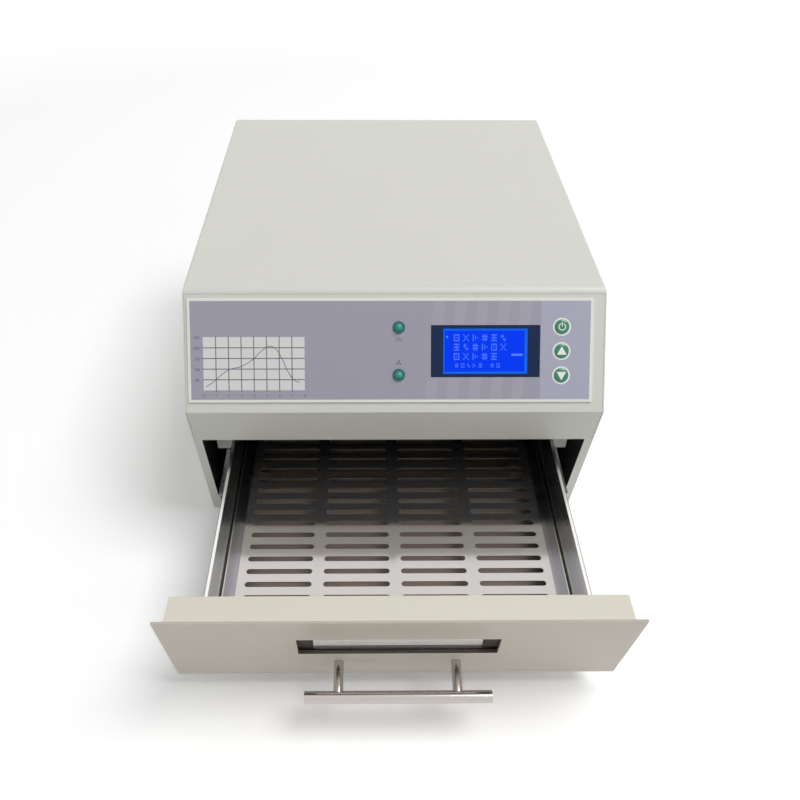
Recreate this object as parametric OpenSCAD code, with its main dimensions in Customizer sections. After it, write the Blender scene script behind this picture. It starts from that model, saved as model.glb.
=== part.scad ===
// Benchtop infrared reflow oven with a sliding drawer, shown with the drawer part open.
// Millimetres. X is to the right, Y to the back, Z up. The origin is on the ground,
// under the middle of the housing.

/* [Housing] */
// Overall width of the housing
body_w = 370; // [360:1:400]
// Height of the flat top above the ground
body_h = 260; // [256:1:280]
// Depth of the flat top, from its front fold to the back
top_d = 368; // [364:1:400]
// Length of the sloping control panel
panel_len = 108.8; // [106:0.2:112]
// Tilt of the control panel from upright
panel_tilt = 37; // [35:0.5:39]
// Undercut of the lower front from upright
undercut = 9.75; // [8:0.25:11]
// Thickness of the housing sheet
sheet = 1.2; // [1:0.1:1.6]
// Radius of the fold between the top and the panel
fold_r = 8; // [4:1:10]
// Radius of the long side edges of the top
edge_r = 2.5; // [2:0.5:4]
// Height of the feet
foot_h = 12; // [10:1:14]
// Width of the front flanges of the side panels
side_flange = 8; // [6:0.5:10]
// Height of the drawer opening, from the base lip up to the dark strip
front_open = 108.1; // [106:0.5:110]
// Depth of the flange turned back under the strip
strip_return = 36; // [35:0.5:37]
// Height of the base lip that shows under the drawer
base_lip = 12.2; // [10:0.2:14]

/* [Drawer] */
// How far the drawer stands open
drawer_open = 189; // [0:1:290]
// Gap around the drawer front plate
plate_gap = 0.9; // [0.5:0.1:1.5]
// Thickness of the drawer front plate
plate_t = 2; // [1.5:0.1:3]
// Gap between the closed plate and the housing's front flanges
stop_gap = 0.3; // [0.2:0.1:0.6]
// Depth of the insulated box behind the plate
box_d = 21.5; // [20:0.5:23]
// Sheet thickness of the drawer box, its sides and its floor
drawer_sheet = 1; // [0.8:0.1:1.4]
// Height of the drawer sides above the ground
side_top = 112; // [108:0.5:113]
// Height of the drawer floor above the ground
floor_z = 47; // [44:0.5:50]
// Space between the end of the closed drawer and the back of the chamber
drawer_back = 26.9; // [20:0.5:40]
// Width of the drawer's turned out rim
rim_w = 2; // [1:0.5:3]

/* [Tray] */
// Height of the tray's top above the ground
tray_z = 70; // [66:0.5:74]
// Thickness of the tray
tray_t = 1; // [0.8:0.1:1.5]
// Gap between the tray and the drawer sides
tray_gap = 3; // [2:0.5:4]
// Width of the strips along the tray's sides
strip_w = 9.8; // [8:0.2:12]
// Thickness of the strips
strip_t = 1.2; // [0.8:0.1:2]
// Width of the slots
slot_w = 5.2; // [4:0.2:6]
// Number of slots side by side
slot_columns = 4; // [3:1:6]
// Space between slots side by side
slot_gap = 10; // [6:1:14]
// Space from the outer slots to the tray's sides
slot_margin = 17; // [14:1:24]
// Space from the first slots to the tray's front
slot_start = 15; // [10:1:20]
// Distance from slot row to slot row
slot_pitch = 13.4; // [12:0.2:16]

/* [Window] */
// Width of the window in the drawer front
window_w = 160; // [140:1:170]
// Height of the window
window_h = 29.5; // [26:0.5:32]
// Distance from the top of the plate to the middle of the window
window_drop = 48; // [46:0.5:50]
// Thickness of the window glass
glass_t = 3; // [2.5:0.5:4]
// Thickness of the gaskets
gasket_t = 0.8; // [0.5:0.1:1.2]
// Half length of the window lining, where it meets the front glass
lining_front = 68; // [66:0.5:69]
// Half length of the window lining, where it meets the inner glass
lining_back = 74; // [72:0.5:76]

/* [Handle] */
// Length of the handle bar
bar_len = 150; // [130:1:170]
// Diameter of the handle bar
bar_dia = 10; // [8:0.5:12]
// Distance from post to post
post_pitch = 96; // [90:1:110]
// Diameter of the posts
post_dia = 8; // [7:0.5:9]
// Distance from the plate to the middle of the bar
handle_reach = 29; // [26:0.5:32]
// Distance from the top of the plate down to the posts
handle_drop = 80; // [78:0.5:84]

/* [Slides] */
// Height of the ball bearing slides
slide_h = 45; // [43:0.5:45]
// Width of the slides
slide_t = 12.7; // [12:0.1:13]
// Height of the middle of the slides above the ground
slide_z = 73; // [71:0.5:74]
// Space between the slide brackets and the sides of the housing
side_room = 17.9; // [16:0.1:20]
// Space between the slides and the back panel
slide_back = 38; // [34:0.5:45]
// How much shorter the middle slide members are than the fixed ones
mid_short = 50; // [44:1:60]
// How far the middle members sit back in the closed slides
mid_setback = 27.5; // [20:0.5:35]
// Sheet thickness of the slide members
slide_sheet = 1.2; // [1:0.1:1.4]

/* [Control panel] */
// Mean margin left and right of the raised control plate
plate_side = 7.75; // [6:0.25:10]
// Length of the control plate down the slope
plate_l = 91; // [88:0.5:92]
// Distance of the control plate from the fold
plate_v = 8.6; // [8:0.2:9]
// Distance of the control plate's middle from the middle of the housing
plate_x = -3.75; // [-5:0.25:-1]
// Thickness of the control plate
control_t = 1.5; // [1.2:0.1:2]
// Margin of the printed film inside the control plate
film_margin = 2.6; // [2:0.1:4]
// Thickness of the printed film
film_t = 0.3; // [0.2:0.1:0.5]
// Outer width of the display frame
bezel_w = 95; // [93:0.5:97]
// Outer height of the display frame
bezel_h = 45; // [44:0.5:47]
// Width of the lit screen
screen_w = 74; // [70:0.5:76]
// Height of the lit screen
screen_h = 39.5; // [38:0.5:40]
// Distance from the keys to the middle of the display
display_to_keys = 66.7; // [64:0.1:70]
// Distance of the display, keys and lamps from the fold
display_v = 55; // [54:0.5:56]
// Diameter of the keys
key_dia = 12.3; // [11:0.1:13]
// Distance from key to key
key_pitch = 21.2; // [19:0.2:22]
// Distance from the keys to the right end of the control plate
key_edge = 27.6; // [24:0.1:30]
// Travel of the keys
key_travel = 0.6; // [0.4:0.1:0.7]
// Distance from the middle of the display to the lamps
lamps_to_display = 75.9; // [70:0.1:80]
// Distance from lamp to lamp
lamp_pitch = 41.5; // [38:0.5:43]
// Outer diameter of the lamp rings
lamp_dia = 10.9; // [10:0.1:12]
// Diameter of the lamp lenses
lens_dia = 8.3; // [7.5:0.1:8.8]

/* [Heating chamber] */
// Space between the drawer's sides and the chamber's sides
hood_side = 1; // [0.8:0.1:2]
// Distance from the beak of the housing to the chamber's front
hood_front = 57.7; // [57:0.1:60]
// Space between the chamber's back and the back panel
hood_back = 50.5; // [48:0.5:56]
// Height of the chamber's roof above the ground
hood_top = 182; // [180:0.5:184]
// Sheet thickness of the chamber
hood_sheet = 1; // [0.8:0.1:1.2]
// Thickness of the wool around the chamber
wool_t = 12; // [10:0.5:12]
// Thickness of the wool above the chamber
wool_top = 14; // [12:0.5:14]
// Number of heater tubes
tubes = 4; // [3:1:5]
// Diameter of the heater tubes
tube_dia = 10; // [8:0.5:11]
// Space between the reflector and the chamber's front and back
reflector_gap = 14; // [10:0.5:20]
// Height of the tubes above the ground
tube_z = 163; // [160:0.5:165]
// Diameter of the ceramic tube ends
cap_dia = 14; // [13:0.5:15]
// Length of the ceramic tube ends
cap_len = 24; // [22:0.5:26]

/* [Back] */
// Side of the exhaust fan
exhaust_side = 60; // [58:1:62]
// Depth of the exhaust fan
exhaust_d = 25; // [23:0.5:26]
// Height of the exhaust fan above the ground
exhaust_z = 147; // [145:0.5:148]
// Space between the cooling fan and the top of the housing
cooling_room = 13; // [12:0.5:16]
// Depth of the cooling fan
cooling_d = 15; // [13:0.5:17]
// Distance from the cooling fan's middle to the left side of the housing
cooling_edge = 68.8; // [60:0.1:80]
// Distance from the power inlet's middle to the right side of the housing
inlet_edge = 55.8; // [54:0.1:62]
// Height of the power inlet and the switch above the ground
inlet_z = 60; // [56:0.5:64]
// Distance from the power inlet to the power switch
switch_to_inlet = 40; // [36:1:48]
// Tilt of the rocker either way
rocker_tilt = 9; // [6:0.5:11]

/* [Hidden] */
$fn = 48;
pin_gap = 0.05;            // running clearance of a shaft in its bore
fit = 0.3;                 // clearance between pieces that move past each other
cover_cut = 2;             // how far a cut runs past the face it opens
steel = [0.84, 0.84, 0.81];
bare = [0.70, 0.71, 0.72];
black = [0.07, 0.07, 0.08];
white = [0.90, 0.90, 0.88];
wool = [0.86, 0.84, 0.74];

// The housing seen from the side: back, fold, beak and base tip
body_d = top_d + panel_len * sin(panel_tilt);
y_back = body_d / 2;
y_beak = -body_d / 2;
y_fold = y_back - top_d;
z_beak = body_h - panel_len * cos(panel_tilt);
z_strip = foot_h + base_lip + front_open;
in_w = body_w - 2 * sheet;
in_back = y_back - sheet;
panel_gap = 0.5;           // gap around the back panel
lip_w = 9;                 // width of the cover's rear flange
screw_r = 1.6;             // radius of the housing screws
foot_screw_r = 2;          // radius of the feet's screws
side_screw_in = 21;        // from the fold to the first side screw
side_screw_end = 65;       // from the back panel to the last side screw
vent_w = 4;                // width, length and pitch of the vents in the back panel
vent_h = 28;
vent_pitch = 10;
vent_x = 60;               // first vent, and distance of the vents from the top
vent_drop = 45;

function unit(v) = v / norm(v);
// Corner b of an outline, moved in by t from both sides that meet there
function moved_in(a, b, c, t) =
    let (u = unit(b - a), w = unit(c - b), n = [-u.y, u.x], m = [-w.y, w.x]) b + t * (n + m) / (1 + n * m);
// Y of the undercut front at height z, moved back by back
function front_y(z, back = 0) = y_beak + (z_beak - z) * tan(undercut) + back;
// Y of the closed drawer's front plate at height z, and of what lies d behind its face
function door_y(z, d = 0) = front_y(z, d - plate_t - stop_gap);
// Points of an arc about c from angle a to angle b
function arc(c, r, a, b, n = 6) = [for (i = [0 : n]) c + r * [cos(a + (b - a) * i / n),
    sin(a + (b - a) * i / n)]];
function fold_arc(t) = arc([y_fold + fold_r * tan(fold_turn / 2), body_h - fold_r],
    fold_r - t, 90, 90 + fold_turn);

fold_turn = 90 - panel_tilt;
side_outline = concat([[y_back, foot_h], [y_back, body_h]], fold_arc(0), [[y_beak, z_beak],
    [front_y(foot_h), foot_h]]);
beak_in = moved_in([y_fold, body_h], [y_beak, z_beak], [front_y(foot_h), foot_h], sheet);
low_z = foot_h - cover_cut;
side_cavity = concat([[y_back + cover_cut, low_z], [y_back + cover_cut, body_h - sheet]], fold_arc(sheet),
    [beak_in, [front_y(low_z, sheet / cos(undercut)), low_z]]);
seam_v = fold_r * tan(fold_turn / 2) + 1;
seam_gap = 0.2;

// Drawer, closed positions; the drawer pieces are drawn shifted by drawer_open
plate_top = z_strip - plate_gap;
plate_bottom = foot_h + base_lip + plate_gap;
box_w = body_w - 2 * (side_flange + 1.2);
box_bottom = plate_bottom + 3;
box_back = plate_t + box_d;
bracket_x = in_w / 2 - side_room;
slide_out = bracket_x - sheet;
wall_out = slide_out - slide_t;
wall_x = wall_out - drawer_sheet;
first_glass = plate_t * cos(undercut) + 0.03 + gasket_t;
inner_glass = (box_back - drawer_sheet) * cos(undercut) - glass_t - 0.1;
seal_w = 12;               // how much wider than the window its gaskets are
seal_h = 14;               // how much higher they are
seal_room = 0.4;           // from the gaskets to the wool, both sides together
post_room = 6;             // radius of the cut in the wool behind a handle post
tray_w = 2 * (wall_x - tray_gap);
hood_y0 = y_beak + hood_front;
hood_y1 = in_back - hood_back;
floor_y = door_y(floor_z, box_back);
drawer_end = hood_y1 - drawer_back;
tray_y = door_y(tray_z, box_back) + 0.6;
tray_l = drawer_end - drawer_sheet - 0.4 - tray_y;
ledge_z = tray_z - tray_t - drawer_sheet;
slot_len = (tray_w - 2 * slot_margin - (slot_columns - 1) * slot_gap) / slot_columns;
slot_rows = floor((tray_l - 2 * slot_start) / slot_pitch) + 1;

// Slides: a fixed member, a middle member with its ball cages, and the drawer's member
slide_y = door_y(slide_z - slide_h / 2, box_back) + 2;
bracket_y = door_y(box_bottom, box_back) + 1.5;
slide_len = in_back - slide_back - slide_y;
mid_len = slide_len - mid_short;
full_travel = mid_len;
mid_y = slide_y + mid_setback - drawer_open / 2;
inner_h = 26.4;
mid_h = 34.4;
cage_gap = 0.35;
cage_end = 10;             // from the outer cages to the middle member's end
inner_cage = 30;           // from the inner cages to the middle member's ends
inner_w = 8.6;             // width of the drawer's member
inner_short = 10;          // how much shorter it is than the fixed member
tie_bottom = slide_z + mid_h / 2 + 1;
tie_y = door_y(tie_bottom, box_back) + 1.5;
tie_w = 15;

// Chamber
hood_w = 2 * (wall_x + hood_side);
hood_out = hood_w / 2 + hood_sheet;
feet_x = in_w / 2 - 30;
feet_front = 4;            // behind the front of the chamber
feet_back = 14;            // behind its back
hood_d = hood_y1 - hood_y0;
hood_y = (hood_y0 + hood_y1) / 2;
tube_pitch = (hood_d - 2 * reflector_gap) / tubes;
hood_bottom = side_top + 2.5;
bore_gap = 0.3;
wool_z = hood_top + wool_top;

// Electronics on the shelf: sizes and places from the shelf's back and the housing's sides
shelf_front = 40;          // from the fold of the housing to the shelf
shelf_rim = 8;
core_w = 52;               // transformer core, its ends and its coil
core_d = 32;
core_h = 34;
core_end = 6;
leg_w = 12;
coil_w = 26;
coil_d = 44;
core_x = 93.8;             // from the housing's right side
core_y = 95;               // from the chamber's back
sink_w = 80;               // relay heat sink, its base and its fins
sink_d = 60;
sink_base = 4;
fin_w = 1.6;
fin_h = 18;
fin_pitch = 5;
fins = 8;
relay_w = 34;
relay_d = 22;
relay_h = 12;
sink_x = 103.8;            // from the housing's left side
sink_y = 125;              // from the chamber's back
block_w = 60;              // terminal block and its screws
block_d = 18;
block_h = 14;
block_hole = 6.4;
block_pitch = 10;
block_x = 83.8;            // from the housing's right side
block_y = 30;              // from the chamber's back

// Panel stack, measured outwards from the housing's slope
plate_w = body_w - 2 * plate_side;
key_x = plate_x + plate_w / 2 - key_edge;
display_x = key_x - display_to_keys;
lamp_x = display_x - lamps_to_display;
display_y = -display_v;
film_z = control_t + film_t;
cut_in = 16;               // from the lamps' middle to the end of the cut in the fascia
cut_out = 20;              // from the keys' middle to its other end
cut_h = 72;
cut_d = 8;
board_z = -6;
board_t = 1.6;
board_w = 176;
board_l = 66;
board_x = key_x + 18 - board_w / 2;
standoff_r = 2.5;
standoff_x = board_w / 2 - 2 * standoff_r;
standoff_y = board_l / 2 - 1.6 * standoff_r;
key_flange_z = -0.3;
key_flange_t = 1.7;
switch_top = key_flange_z - key_flange_t - key_travel - fit;
chip_w = 14;
chip_h = 3;

// Back panel pieces
exhaust_y = in_back - exhaust_d;
cooling_side = body_h - cooling_room - wool_z - 1;
cooling_z = wool_z + 1 + cooling_side / 2;
inlet_w = 27;
inlet_h = 44;
inlet_depth = 26;
flange_t = 3;
socket_z = 7;
socket_w = 22;
socket_h = 16;
fuse_z = -14;
fuse_w = 18;
fuse_h = 9;
fuse_in = 20;
switch_w = 13;
switch_h = 19.5;
rocker_y = y_back - 1.5;   // the rocker's pin
cooling_x = in_w / 2 - cooling_edge;
inlet_x = in_w / 2 - inlet_edge;
switch_x = inlet_x - switch_to_inlet;

// Extrudes a Y-Z outline along X, centred
module along_x(points, w) {
    rotate([90, 0, 90]) linear_extrude(height = w, center = true) polygon(points);
}
// A block given by its lowest and highest corners
module block(low, high) {
    translate(low) cube(high - low);
}
// A cylinder of radius r along Y, from y0 to y1
module rod_y(r, y0, y1) {
    translate([0, y0, 0]) rotate([-90, 0, 0]) cylinder(r = r, h = y1 - y0);
}
// A cylinder of radius r along X, from x0 to x1
module rod_x(r, x0, x1) {
    translate([x0, 0, 0]) rotate([0, 90, 0]) cylinder(r = r, h = x1 - x0);
}
// Places children on the sloping panel: x along it, y up the slope, z out of it
module on_panel() {
    translate([0, y_fold, body_h]) rotate([90 - panel_tilt, 0, 0]) children();
}
// Places children on the undercut front, measured from the top of the drawer plate
module on_plate() {
    translate([0, door_y(plate_top), plate_top]) rotate([90 + undercut, 0, 0]) children();
}
// Moves a piece of the drawer to where it stands open
module opened() {
    translate([0, -drawer_open, 0]) children();
}
// Draws a left hand piece on the right
module other_side() {
    mirror([1, 0, 0]) children();
}
// Pan head screw along +Z with its head up, seated at z = 0
module pan_screw(r, length) {
    head = 1.9 * r;
    cylinder(r = head, h = 0.55 * r);
    translate([0, 0, 0.55 * r]) cylinder(r1 = head, r2 = 0.7 * head, h = 0.45 * r);
    translate([0, 0, -length]) cylinder(r = r, h = length);
}

// Housing: one folded sheet for the top and both sides, with flanges beside the drawer front
module outer_cover() {
    cross = concat([[-body_w / 2, 0]], arc([-body_w / 2 + edge_r, body_h - edge_r], edge_r, 180, 90),
        arc([body_w / 2 - edge_r, body_h - edge_r], edge_r, 90, 0), [[body_w / 2, 0]]);
    hollow = concat([[-in_w / 2, -1]], arc([-body_w / 2 + edge_r, body_h - edge_r],
        edge_r - sheet, 180, 90),
        arc([body_w / 2 - edge_r, body_h - edge_r], edge_r - sheet, 90, 0), [[in_w / 2, -1]]);
    open_w = body_w - 2 * side_flange;
    color(steel) difference() {
        intersection() {
            along_x(side_outline, body_w);
            rotate([90, 0, 0]) linear_extrude(height = 2 * body_d, center = true) polygon(cross);
        }
        intersection() {
            along_x(side_cavity, in_w);
            rotate([90, 0, 0]) linear_extrude(height = 2 * body_d, center = true) polygon(hollow);
        }
        on_panel() translate([-in_w / 2, -panel_len - 20, -6]) cube([in_w, panel_len + 20 - seam_v, 12]);
        along_x([[y_beak - 5, z_beak + 1], [y_beak + 8, z_beak + 1],
            [front_y(z_strip, 8), z_strip], [front_y(z_strip, -8), z_strip]], in_w);
        along_x([[front_y(z_beak, -5), z_beak], [front_y(z_beak, 5), z_beak],
            [front_y(low_z, 5), low_z], [front_y(low_z, -5), low_z]], open_w);
        at_side_screws() translate([0, 0, -2 * sheet]) cylinder(r = screw_r, h = 3 * sheet);
    }
    // Rear flange that the back panel is screwed to
    low = foot_h + base_lip + 1;
    color(steel) difference() {
        block([-in_w / 2, in_back - 0.2 - sheet, low], [in_w / 2, in_back - 0.2, body_h - sheet]);
        block([-in_w / 2 + lip_w, 0, low - 1], [in_w / 2 - lip_w, y_back, body_h - sheet - lip_w]);
        at_back_screws() translate([0, 0, -3 * sheet]) cylinder(r = screw_r, h = 4 * sheet);
    }
}

// Base pan with upturned edges and the lip under the drawer front
module base_pan() {
    w = in_w - 2 * 0.2;
    z1 = foot_h + base_lip;
    back = in_back - 0.2;
    color(steel) difference() {
        along_x([[front_y(foot_h, 0.2 + sheet), foot_h], [back, foot_h], [back, z1],
            [front_y(z1, 0.2 + sheet), z1]], w);
        along_x([[front_y(foot_h + sheet, 0.2 + 2 * sheet), foot_h + sheet], [back - sheet, foot_h + sheet],
            [back - sheet, z1 + 1], [front_y(z1 + 1, 0.2 + 2 * sheet), z1 + 1]], w - 2 * sheet);
        at_side_screws() translate([0, 0, -3 * sheet]) cylinder(r = screw_r, h = 3 * sheet);
        at_back_screws() translate([0, 0, -3 * sheet]) cylinder(r = screw_r, h = 3 * sheet);
        at_feet() translate([0, 0, foot_h - 1]) cylinder(r = foot_screw_r + 0.1, h = 4);
    }
}

// Back panel with the fan outlets, the inlet cut-out, the switch cut-out and cooling slots
module back_panel() {
    w = in_w - 2 * panel_gap;
    color(steel) difference() {
        block([-w / 2, in_back, foot_h + panel_gap], [w / 2, y_back, body_h - sheet - panel_gap]);
        translate([0, 0, exhaust_z]) rod_y(exhaust_side / 2 - 2, in_back - 1, y_back + 1);
        translate([-cooling_x, 0, cooling_z]) rod_y(cooling_side / 2 - 2, in_back - 1, y_back + 1);
        translate([inlet_x - inlet_w / 2, in_back - 1, inlet_z - inlet_h / 2]) cube([inlet_w, 4, inlet_h]);
        translate([switch_x - switch_w / 2, in_back - 1, inlet_z - switch_h / 2])
            cube([switch_w, 4, switch_h]);
        for (i = [0 : 7]) translate([vent_x + vent_pitch * i, in_back - 1, body_h - vent_drop])
            cube([vent_w, 4, vent_h]);
        at_back_screws() translate([0, 0, -2 * sheet]) cylinder(r = screw_r, h = 3 * sheet);
    }
}

// Front fascia: the slope behind the control plate, the beak, the strip and its return
module front_fascia() {
    cos_u = cos(undercut);
    sink = [cos(panel_tilt), -sin(panel_tilt)] * sheet;
    start = [y_fold - (seam_v + seam_gap) * sin(panel_tilt),
        body_h - (seam_v + seam_gap) * cos(panel_tilt)];
    w = in_w - 2 * 0.2;
    color(steel) difference() {
        along_x([start, [y_beak, z_beak], [front_y(z_strip), z_strip],
            [front_y(z_strip, strip_return), z_strip],
            [front_y(z_strip, strip_return), z_strip + sheet],
            [front_y(z_strip + sheet, sheet / cos_u), z_strip + sheet], beak_in, start + sink], w);
        on_panel() translate([lamp_x - cut_in, display_y - cut_h / 2, -cut_d / 2])
            cube([key_x + cut_out - lamp_x + cut_in, cut_h, cut_d]);
    }
}

// Raised control plate on the fascia
module control_plate() {
    color(steel) on_panel() difference() {
        translate([plate_x - plate_w / 2, -plate_v - plate_l, 0]) cube([plate_w, plate_l, control_t]);
        panel_holes(bezel_w + 2 * fit, key_dia / 2 + fit, lens_dia / 2 + 0.4);
    }
}
module panel_holes(display_hole, key_r, lamp_r) {
    translate([display_x, display_y, 0]) cube([display_hole, bezel_h + 2 * fit, 20], center = true);
    for (i = [-1 : 1]) translate([key_x, display_y + i * key_pitch, -5]) cylinder(r = key_r, h = 10);
    for (i = [-1, 1]) translate([lamp_x, display_y + i * lamp_pitch / 2, -5]) cylinder(r = lamp_r, h = 10);
}
// Printed film on the control plate
module panel_film() {
    color([0.62, 0.61, 0.66]) on_panel() difference() {
        translate([plate_x - plate_w / 2 + film_margin, -plate_v - plate_l + film_margin, control_t])
            cube([plate_w - 2 * film_margin, plate_l - 2 * film_margin, film_t]);
        panel_holes(bezel_w + 2 * fit, key_dia / 2 + fit, lens_dia / 2 + 0.4);
    }
}

// Display: a black frame with the lit screen set back in it, both on the controller board
module display_frame() {
    color(black) on_panel() translate([display_x, display_y, 0]) difference() {
        translate([-bezel_w / 2, -bezel_h / 2, board_z]) cube([bezel_w, bezel_h, film_z + 0.2 - board_z]);
        translate([-screen_w / 2, -screen_h / 2, board_z - 1]) cube([screen_w, screen_h, 20]);
    }
}
module display_screen() {
    color([0.10, 0.25, 0.85]) on_panel() translate([display_x, display_y, board_z])
        translate([-screen_w / 2, -screen_h / 2, 0]) cube([screen_w, screen_h, film_z - 0.8 - board_z]);
}
module at_lamps() {
    on_panel() for (i = [-1, 1]) translate([lamp_x, display_y + i * lamp_pitch / 2, 0]) children();
}
module lamp_rings() {
    color(black) at_lamps() difference() {
        translate([0, 0, film_z]) cylinder(r1 = lamp_dia / 2, r2 = lamp_dia / 2 - 0.5, h = 1.2);
        translate([0, 0, film_z - 1]) cylinder(r = lens_dia / 2 - 0.4, h = 4);
    }
}
module lamp_lenses() {
    r = lens_dia / 2 - 0.4;
    color([0.05, 0.55, 0.35]) at_lamps() {
        translate([0, 0, board_z]) cylinder(r = r - 0.02, h = film_z + 1 - board_z);
        translate([0, 0, film_z + 1]) intersection() {
            sphere(r = r - 0.02);
            cylinder(r = r, h = r);
        }
    }
}

// Controller board with its key switches and chips, on standoffs behind the control plate
module controller_board() {
    color([0.05, 0.35, 0.20]) on_panel() translate([board_x - board_w / 2, display_y - board_l / 2,
        board_z - board_t])
        cube([board_w, board_l, board_t]);
    color(black) on_panel() {
        for (i = [-1 : 1]) translate([key_x - 3, display_y + i * key_pitch - 3, board_z])
            cube([6, 6, switch_top - board_z]);
        for (x = [-key_x + display_x, 0, 0.3 * board_w])
            translate([board_x + x - chip_w / 2, display_y - chip_w / 2,
            board_z - board_t - chip_h]) cube([chip_w, chip_w, chip_h]);
    }
}
module board_standoffs() {
    color([0.75, 0.62, 0.30]) on_panel() for (x = [-1, 1], y = [-1, 1])
        translate([board_x + x * standoff_x, display_y + y * standoff_y, board_z])
            cylinder(r = standoff_r, h = -board_z);
}

// One key: a domed cap through the plate with a flange that the plate holds back
module key_cap(row) {
    r = key_dia / 2;
    color([0.05, 0.50, 0.32]) on_panel() translate([key_x, display_y + row * key_pitch, 0]) {
        translate([0, 0, key_flange_z - key_flange_t]) cylinder(r = r + 1.2, h = key_flange_t);
        translate([0, 0, key_flange_z]) cylinder(r = r, h = film_z + 0.6 - key_flange_z);
        translate([0, 0, film_z + 0.6]) cylinder(r1 = r, r2 = r - 1.2, h = 0.5);
    }
}
module key_power() { key_cap(1); }
module key_up() { key_cap(0); }
module key_down() { key_cap(-1); }

// Chamber: a hood open downwards, standing on the slide brackets
module at_tubes() {
    for (i = [0 : tubes - 1]) translate([0, hood_y + (i - (tubes - 1) / 2) * tube_pitch,
        tube_z]) children();
}
module chamber_hood() {
    color(bare) difference() {
        union() {
            block([-hood_out, hood_y0 - hood_sheet, hood_bottom],
                [hood_out, hood_y1 + hood_sheet, hood_top]);
            block([-bracket_x, hood_y0 - hood_sheet, hood_bottom],
                [bracket_x, hood_y1 + hood_sheet, hood_bottom + hood_sheet]);
        }
        block([-hood_w / 2, hood_y0, hood_bottom - 1], [hood_w / 2, hood_y1, hood_top - hood_sheet]);
        at_tubes() rod_x(cap_dia / 2 + bore_gap, -hood_out - 1, hood_out + 1);
        translate([0, 0, exhaust_z]) rod_y(exhaust_side / 2 - 3, hood_y1 - 1, hood_y1 + 3);
    }
}
module chamber_wool() {
    x = hood_out + wool_t;
    color(wool) difference() {
        block([-x, hood_y0 - hood_sheet - wool_t, hood_bottom + hood_sheet],
            [x, hood_y1 + hood_sheet + wool_t, wool_z]);
        block([-hood_out, hood_y0 - hood_sheet, 0], [hood_out, hood_y1 + hood_sheet, hood_top]);
        at_tubes() rod_x(cap_dia / 2 + bore_gap, -x - 1, x + 1);
        translate([0, 0, exhaust_z]) rod_y(exhaust_side / 2 - 3 + bore_gap, hood_y1, hood_y1 + wool_t + 5);
    }
}
// Wool and heat shield on the floor under the drawer
module floor_wool() {
    color(wool) block([-tray_w / 2, hood_y0, foot_h + sheet],
        [tray_w / 2, hood_y1, foot_h + sheet + wool_t]);
}
module floor_shield() {
    z = foot_h + sheet + wool_t;
    color(bare) block([-tray_w / 2, hood_y0, z], [tray_w / 2, hood_y1, z + hood_sheet]);
}
// Reflector with a shallow trough above each tube
module reflector() {
    span = tube_pitch / 2;
    z = tube_z + tube_dia / 2 + 3;
    rise = hood_top - hood_sheet - z - 1;
    first = hood_y - (tubes - 1) / 2 * tube_pitch;
    low = [for (i = [0 : tubes - 1]) let (y = first + i * tube_pitch)
        each [[y - span + 4, z], [y - span + 16, z + rise], [y + span - 16, z + rise], [y + span - 4, z]]];
    up = [for (i = [len(low) - 1 : -1 : 0]) low[i] + [0, 1]];
    color(bare) along_x(concat(low, up), hood_w);
}
module heater_tubes() {
    x = hood_out + wool_t - cap_len;
    color([0.85, 0.80, 0.75]) at_tubes() rod_x(tube_dia / 2, -x, x);
}
module heater_caps() {
    x = hood_out + wool_t;
    color(white) at_tubes() {
        rod_x(cap_dia / 2, x - cap_len, x);
        rod_x(cap_dia / 2, -x, -x + cap_len);
    }
}
module thermocouples() {
    x = hood_out + wool_t;
    z = hood_bottom + 22;
    color(bare) for (side = [-1, 1]) translate([0, hood_y1 - 22, z]) difference() {
        rod_x(1.5, side > 0 ? hood_w / 2 - 26 : -hood_w / 2, side > 0 ? hood_w / 2 : -hood_w / 2 + 26);
        rod_x(0.5, side > 0 ? 0 : -x, side > 0 ? x : 0);
    }
}
module exhaust_duct() {
    r = exhaust_side / 2 - 3;
    color(bare) translate([0, 0, exhaust_z]) difference() {
        rod_y(r, hood_y1 + hood_sheet, exhaust_y);
        rod_y(r - 1, hood_y1, exhaust_y + 1);
    }
}

// Electronics above the chamber
module electronics_shelf() {
    color(bare) difference() {
        block([-in_w / 2 + 1, y_fold + shelf_front, wool_z],
            [in_w / 2 - 1, hood_y1, wool_z + sheet + shelf_rim]);
        block([-in_w, y_fold + shelf_front + sheet, wool_z + sheet],
            [in_w, hood_y1 - sheet, wool_z + sheet + shelf_rim + 1]);
    }
}
module power_transformer() {
    place = [in_w / 2 - core_x, hood_y1 - core_y, wool_z + sheet];
    legs = [-core_w / 2, -leg_w / 2, core_w / 2 - leg_w];
    color([0.35, 0.33, 0.32]) translate(place) {
        for (z = [0, core_h - core_end]) translate([-core_w / 2, -core_d / 2, z])
            cube([core_w, core_d, core_end]);
        for (x = legs) translate([x, -core_d / 2, core_end]) cube([leg_w, core_d, core_h - 2 * core_end]);
    }
    color([0.75, 0.42, 0.18]) translate(place + [0, 0, core_end]) difference() {
        translate([-coil_w / 2, -coil_d / 2, 0]) cube([coil_w, coil_d, core_h - 2 * core_end]);
        translate([-leg_w / 2, -coil_d, -1]) cube([leg_w, 2 * coil_d, core_h]);
        for (x = legs) translate([x - 0.2, -core_d / 2 - 0.2, -1])
            cube([leg_w + 0.4, core_d + 0.4, core_h]);
    }
}
module relay_module() {
    place = [-in_w / 2 + sink_x, hood_y1 - sink_y, wool_z + sheet];
    color(bare) translate(place) {
        translate([-sink_w / 2, -sink_d / 2, 0]) cube([sink_w, sink_d, sink_base]);
        for (i = [0 : fins - 1]) translate([-sink_w / 2 + i * fin_pitch, -sink_d / 2, sink_base])
            cube([fin_w, sink_d, fin_h]);
    }
    color(black) for (y = [-relay_d - 4, 4])
        translate(place + [2, y, sink_base]) cube([relay_w, relay_d, relay_h]);
}
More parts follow.
